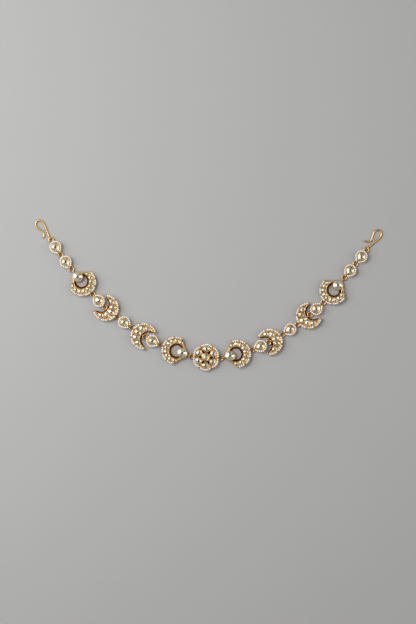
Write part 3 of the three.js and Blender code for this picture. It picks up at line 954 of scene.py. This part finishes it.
def hook_form(s, hand):
    """A round wire from its eye along the shaft, round the bend and back to a curled tip."""
    form, sizes, link = Form(), s.hook, s.link
    route = [*HOOK_ROUTE, HOOK_TIPS[hand]]
    points = [(p["out"] * MM, p["aside"] * MM, sizes.level) for p in route]
    points[0] = (*points[0][:2], s.link_level)
    path = smooth_path(np.array(points), STEPS["hook_span"])
    carry(form, path, UP, (sizes.wire / 2,) * 2, SIDES["hook"])
    turn = np.linspace(0, TAU, STEPS["hook_eye"], endpoint=False)
    x = link.radius + link.eye_radius * np.cos(turn)
    bow = np.stack([x, 0 * turn, s.link_level + link.eye_radius * np.sin(turn)], -1)
    strap = (link.eye_thick / 2, link.eye_wide / 2)
    carry(form, bow, (0, 1, 0), strap, SIDES["eye"], wrap=True)
    return form


def ring_form(s):
    """A jump ring: a round wire carried round a circle, with painted shade at its inner side."""
    form, link = Form(), s.link
    turn = np.linspace(0, TAU, STEPS["ring"], endpoint=False)
    path = np.column_stack([polar(link.radius, turn), 0 * turn])
    section = np.linspace(0, TAU, SIDES["ring"], endpoint=False)
    # Painted shade on the inner side of the wire, round the hole
    mark = RING_SHADE * np.clip(-np.cos(section), 0, 1)[None, :]
    carry(form, path, UP, (link.wire / 2,) * 2, SIDES["ring"], wrap=True, mark=mark)
    return form


# Places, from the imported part


def middle_of(node):
    """The middle of a node's box."""
    low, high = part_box(node)
    return (np.array(low) + np.array(high)) / 2


def heading_of(vector):
    """The direction of a flat vector."""
    return float(np.arctan2(vector[1], vector[0]))


class Sizes:
    """The settings of the scene, with the level of the jump rings read from the part."""

    def __init__(self, context):
        settings = context.scene.forehead_chain
        for group in settings.__annotations__:
            setattr(self, group, getattr(settings, group))
        self.link_level = middle_of("left_jump_ring_1")[2]


def unit_place(hand, index, unit, sizes):
    """Where a unit lies: it spans the line between its two jump rings."""
    inner = middle_of(f"{hand}_jump_ring_{index + 1}")
    outer = middle_of(f"{hand}_jump_ring_{index + 2}")
    tail, head = (inner, outer) if unit["faces"] == "out" else (outer, inner)
    heading = heading_of(head - tail)
    out = np.array([np.cos(heading), np.sin(heading), 0])
    return tail * (1, 1, 0) + out * getattr(sizes, unit["kind"]).behind, heading


def set_down(name, forms, origin, heading):
    """Builds the three pieces of a unit at its place."""
    nodes = {"gold": "_setting", "stones": "_setting", "pearls": "_pearls"}
    titles = {"gold": "_goldwork", "stones": "_stones", "pearls": "_seed_pearls"}
    for slot, form in forms.items():
        placed = form.placed(origin, heading)
        build(name + titles[slot], placed, slot, [name + nodes[slot]], slot == "stones")


# Materials


def link_up(tree, *pairs):
    """Joins sockets, each pair an output and an input."""
    for source, target in pairs:
        tree.links.new(source, target)


def node(tree, kind, **values):
    """Adds a node and sets its properties, and its inputs where the name is that of a socket."""
    made = tree.nodes.new(kind)
    for key, value in values.items():
        if key.startswith("in_"):
            made.inputs[key[3:].replace("_", " ")].default_value = value
        else:
            setattr(made, key, value)
    return made


def surface_group():
    """Two tones mixed by mark + (noise - 1/2) variation, the mark being painted shade and painted
    reflection, with the roughness and the fine unevenness of a hand-worked surface from the same
    noise and a finer one."""
    found = bpy.data.node_groups.get("Worked Surface")
    if found:
        return found
    tree = bpy.data.node_groups.new("Worked Surface", "ShaderNodeTree")
    sockets = {
        ("INPUT", "NodeSocketColor"): ("High", "Deep"),
        ("INPUT", "NodeSocketFloat"): ("Grain", "Variation", "Smooth", "Rough", "Relief"),
        ("OUTPUT", "NodeSocketColor"): ("Color",),
        ("OUTPUT", "NodeSocketFloat"): ("Roughness",),
        ("OUTPUT", "NodeSocketVector"): ("Normal",),
    }
    for (side, kind), names in sockets.items():
        for name in names:
            tree.interface.new_socket(name=name, in_out=side, socket_type=kind)
    given, out = node(tree, "NodeGroupInput"), node(tree, "NodeGroupOutput")
    mark = node(tree, "ShaderNodeAttribute", attribute_name=MARK)
    place = node(tree, "ShaderNodeTexCoord")
    broad = node(tree, "ShaderNodeTexNoise", in_Detail=BROAD_DETAIL)
    fine = node(tree, "ShaderNodeTexNoise", in_Detail=FINE_DETAIL)
    finer = node(tree, "ShaderNodeMath", operation="MULTIPLY")
    finer.inputs[1].default_value = FINER
    swing = node(tree, "ShaderNodeMath", operation="SUBTRACT")
    swing.inputs[1].default_value = 0.5
    spread = node(tree, "ShaderNodeMath", operation="MULTIPLY")
    painted_shade_and_variation = node(tree, "ShaderNodeMath", operation="ADD", use_clamp=True)
    tone = node(tree, "ShaderNodeMix", data_type="RGBA")
    shine = node(tree, "ShaderNodeMapRange")
    bump = node(tree, "ShaderNodeBump", in_Distance=BUMP_DEPTH)
    link_up(
        tree,
        (place.outputs["Object"], broad.inputs["Vector"]),
        (place.outputs["Object"], fine.inputs["Vector"]),
        (given.outputs["Grain"], broad.inputs["Scale"]),
        (given.outputs["Grain"], finer.inputs[0]),
        (finer.outputs[0], fine.inputs["Scale"]),
        (broad.outputs["Fac"], swing.inputs[0]),
        (swing.outputs[0], spread.inputs[0]),
        (given.outputs["Variation"], spread.inputs[1]),
        (spread.outputs[0], painted_shade_and_variation.inputs[0]),
        (mark.outputs["Fac"], painted_shade_and_variation.inputs[1]),
        (painted_shade_and_variation.outputs[0], tone.inputs["Factor"]),
        (given.outputs["High"], tone.inputs["A"]),
        (given.outputs["Deep"], tone.inputs["B"]),
        (fine.outputs["Fac"], shine.inputs["Value"]),
        (given.outputs["Smooth"], shine.inputs["To Min"]),
        (given.outputs["Rough"], shine.inputs["To Max"]),
        (broad.outputs["Fac"], bump.inputs["Height"]),
        (given.outputs["Relief"], bump.inputs["Strength"]),
        (tone.outputs["Result"], out.inputs["Color"]),
        (shine.outputs["Result"], out.inputs["Roughness"]),
        (bump.outputs["Normal"], out.inputs["Normal"]),
    )
    return tree


def material(name, high, deep, values, surface):
    """A Principled material fed by the surface group: high and deep are its two tones, values go
    on the shader's own sockets and surface on the group's."""
    found = bpy.data.materials.get(name)
    if found:
        return found
    made = bpy.data.materials.new(name)
    made.use_nodes = True
    tree = made.node_tree
    shader = tree.nodes["Principled BSDF"]
    for key, value in values.items():
        shader.inputs[key].default_value = value
    group = node(tree, "ShaderNodeGroup", node_tree=surface_group())
    for key, value in {"High": (*high, 1), "Deep": (*deep, 1), **surface}.items():
        group.inputs[key].default_value = value
    link_up(
        tree,
        (group.outputs["Color"], shader.inputs["Base Color"]),
        (group.outputs["Roughness"], shader.inputs["Roughness"]),
        (group.outputs["Normal"], shader.inputs["Normal"]),
    )
    return made


def finishes():
    """The colours that a user may change."""
    return bpy.context.scene.forehead_chain.finish


def gold_material():
    """Warm gold plate, hand finished, with painted shade, reddish and duller, in the recesses."""
    values = {"Metallic": 1.0, "Specular Tint": (*EDGE_GOLD, 1)}
    surface = {"Grain": 900, "Variation": 0.35, "Smooth": 0.24, "Rough": 0.5, "Relief": 0.12}
    return material("warm_gold", finishes().gold, finishes().recess, values, surface)


def pearl_material():
    """Ivory seed pearls: each has its own tone and painted shade at its sides, under a clear
    lustre.
    """
    values = {"Coat Weight": 1.0, "Coat Roughness": 0.08, "IOR": 1.6}
    surface = {"Grain": 700, "Variation": 0.15, "Smooth": 0.16, "Rough": 0.28, "Relief": 0.05}
    return material("seed_pearl", finishes().pearl_light, finishes().pearl_warm_and_shade, values, surface)


def stone_material():
    """Cut stones over foil, with painted reflections: bright where a facet shows the foil, deep
    olive elsewhere.
    """
    values = {"Metallic": 0.72, "Coat Weight": 0.5, "Coat Roughness": 0.02}
    surface = {"Grain": 260, "Variation": 0.2, "Smooth": 0.05, "Rough": 0.12, "Relief": 0.02}
    return material("foiled_stone", finishes().stone_light, finishes().stone_deep, values, surface)


def floor_material():
    """A matt, very slightly uneven grey card."""
    grey = np.array(finishes().floor)
    values = {"Specular IOR Level": 0.2}
    surface = {"Grain": 30, "Variation": 0.3, "Smooth": 0.8, "Rough": 0.95, "Relief": 0.02}
    return material("grey_card", grey, grey * FLOOR_SHADE, values, surface)


MATERIALS = {"gold": gold_material, "stones": stone_material, "pearls": pearl_material}


# Operators


class CHAIN_OT_flower(bpy.types.Operator):
    """Add the flower at the middle of the chain"""

    bl_idname = "forehead_chain.add_flower"
    bl_label = "Add Flower"

    def execute(self, context):
        sizes = Sizes(context)
        right, left = (middle_of(f"{hand}_jump_ring_1") for hand in ("right", "left"))
        origin = middle_of("flower_setting") * (1, 1, 0)
        set_down("flower", flower_forms(sizes), origin, heading_of(right - left))
        return {"FINISHED"}


def add_units(context, kind, make):
    """Builds one kind of unit once and sets a copy down at each of its places."""
    sizes = Sizes(context)
    forms = make(sizes)
    for hand in HANDS:
        for index, unit in enumerate(UNITS):
            if unit["kind"] == kind:
                origin, heading = unit_place(hand, index, unit, sizes)
                set_down(f"{hand}_{unit['name']}", forms, origin, heading)


class CHAIN_OT_ring_crescents(bpy.types.Operator):
    """Add the four ring crescents with their domed stones"""

    bl_idname = "forehead_chain.add_ring_crescents"
    bl_label = "Add Ring Crescents"

    def execute(self, context):
        add_units(context, "ring_crescent", ring_crescent_forms)
        return {"FINISHED"}


class CHAIN_OT_crescents(bpy.types.Operator):
    """Add the four open crescents"""

    bl_idname = "forehead_chain.add_crescents"
    bl_label = "Add Crescents"

    def execute(self, context):
        add_units(context, "crescent", crescent_forms)
        return {"FINISHED"}


class CHAIN_OT_drops(bpy.types.Operator):
    """Add the ten pear drops"""

    bl_idname = "forehead_chain.add_drops"
    bl_label = "Add Drops"

    def execute(self, context):
        add_units(context, "drop", drop_forms)
        return {"FINISHED"}


class CHAIN_OT_jump_rings(bpy.types.Operator):
    """Add the jump rings that join the units"""

    bl_idname = "forehead_chain.add_jump_rings"
    bl_label = "Add Jump Rings"

    def execute(self, context):
        form = ring_form(Sizes(context))
        for hand in HANDS:
            for index in range(1, RINGS + 1):
                name = f"{hand}_jump_ring_{index}"
                # Turned by its number in radians, so that no two rings of a side lie alike
                placed = form.placed(middle_of(name), index)
                build(name + "_wire", placed, "gold", [name])
        return {"FINISHED"}


class CHAIN_OT_hooks(bpy.types.Operator):
    """Add the bent wire hooks at both ends"""

    bl_idname = "forehead_chain.add_hooks"
    bl_label = "Add Hooks"

    def execute(self, context):
        sizes = Sizes(context)
        for hand in HANDS:
            origin = middle_of(f"{hand}_jump_ring_{RINGS}") * (1, 1, 0)
            placed = hook_form(sizes, hand).placed(origin, getattr(sizes.hook, hand))
            build(f"{hand}_hook_wire", placed, "gold", [f"{hand}_hook"])
        return {"FINISHED"}


def aim(thing, place, target):
    """Moves a lamp or camera and points its -Z axis at a target."""
    thing.location = place
    direction = np.asarray(place, float) - np.asarray(target, float)
    from_top = np.arctan2(np.hypot(direction[0], direction[1]), direction[2])
    around = np.arctan2(direction[1], direction[0]) + np.pi / 2 if from_top > TINY else 0.0
    thing.rotation_euler = (from_top, 0, around)


def lamp(row, power, target):
    """A softbox: a lit rectangle at a distance, leaning from straight above towards an azimuth."""
    data = bpy.data.lights.new(row["name"], "AREA")
    data.shape, data.energy = "RECTANGLE", power
    data.size, data.size_y = row["size"]
    light = bpy.data.objects.new(row["name"], data)
    bpy.context.scene.collection.objects.link(light)
    azimuth, lean = np.radians(row["azimuth"]), np.radians(row["lean"])
    flat = np.sin(lean)
    away = np.array([flat * np.cos(azimuth), flat * np.sin(azimuth), np.cos(lean)])
    aim(light, target + away * row["distance"], target)


class CHAIN_OT_stage(bpy.types.Operator):
    """Add the floor, the light and the camera"""

    bl_idname = "forehead_chain.add_stage"
    bl_label = "Add Stage"

    def execute(self, context):
        scene, stage = context.scene, Sizes(context).stage
        flower = middle_of("flower_setting")
        aside = (PHOTO["wide"] / 2 - stage.flower_right) * stage.pixel
        above = (stage.flower_down - PHOTO["high"] / 2) * stage.pixel
        target = np.array([flower[0] + aside, flower[1] + above, 0.0])
        data = bpy.data.cameras.new("camera")
        data.lens, data.sensor_height, data.sensor_fit = stage.lens, SENSOR, "VERTICAL"
        data.clip_end = SIGHT
        camera = bpy.data.objects.new("camera", data)
        scene.collection.objects.link(camera)
        distance = stage.lens / SENSOR * PHOTO["high"] * stage.pixel
        aim(camera, target + np.array([0, 0, distance]), target)
        scene.camera = camera

        half = FLOOR_HALF
        corners = [(-half, -half, 0), (half, -half, 0), (half, half, 0), (-half, half, 0)]
        mesh = bpy.data.meshes.new("floor")
        mesh.from_pydata(corners, [], [(0, 1, 2, 3)])
        mesh.materials.append(floor_material())
        floor = bpy.data.objects.new("floor", mesh)
        scene.collection.objects.link(floor)

        for row in LAMPS:
            lamp(row, getattr(stage, row["power"]), target)
        world = bpy.data.worlds.new("room")
        world.use_nodes = True
        for key, value in ROOM.items():
            world.node_tree.nodes["Background"].inputs[key].default_value = value
        scene.world = world
        scene.view_settings.view_transform = "Standard"
        return {"FINISHED"}


class CHAIN_PT_panel(bpy.types.Panel):
    """Lists the chain's pieces and sizes"""

    bl_label = "Forehead Chain"
    bl_idname = "CHAIN_PT_panel"
    bl_space_type = "VIEW_3D"
    bl_region_type = "UI"
    bl_category = "Forehead Chain"

    def draw(self, context):
        layout = self.layout
        for operator in OPERATORS:
            layout.operator(operator.bl_idname)
        settings = context.scene.forehead_chain
        for group in settings.__annotations__:
            box = layout.box()
            box.label(text=group.replace("_", " ").capitalize())
            values = getattr(settings, group)
            for value in values.__annotations__:
                box.prop(values, value)


OPERATORS = (
    CHAIN_OT_stage,
    CHAIN_OT_flower,
    CHAIN_OT_ring_crescents,
    CHAIN_OT_crescents,
    CHAIN_OT_drops,
    CHAIN_OT_jump_rings,
    CHAIN_OT_hooks,
)
GROUPS = (
    CommonSizes,
    LinkSizes,
    FlowerSizes,
    RingCrescentSizes,
    CrescentSizes,
    DropSizes,
    HookSizes,
    Finishes,
    StageSizes,
    ChainSettings,
)
CLASSES = (*GROUPS, *OPERATORS, CHAIN_PT_panel)


def register():
    for cls in CLASSES:
        bpy.utils.register_class(cls)
    bpy.types.Scene.forehead_chain = bpy.props.PointerProperty(type=ChainSettings)


def unregister():
    del bpy.types.Scene.forehead_chain
    for cls in reversed(CLASSES):
        bpy.utils.unregister_class(cls)


def main():
    """Registers the classes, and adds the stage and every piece."""
    register()
    bpy.ops.forehead_chain.add_stage()
    bpy.ops.forehead_chain.add_flower()
    bpy.ops.forehead_chain.add_ring_crescents()
    bpy.ops.forehead_chain.add_crescents()
    bpy.ops.forehead_chain.add_drops()
    bpy.ops.forehead_chain.add_jump_rings()
    bpy.ops.forehead_chain.add_hooks()
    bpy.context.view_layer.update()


if __name__ == "__main__":
    main()
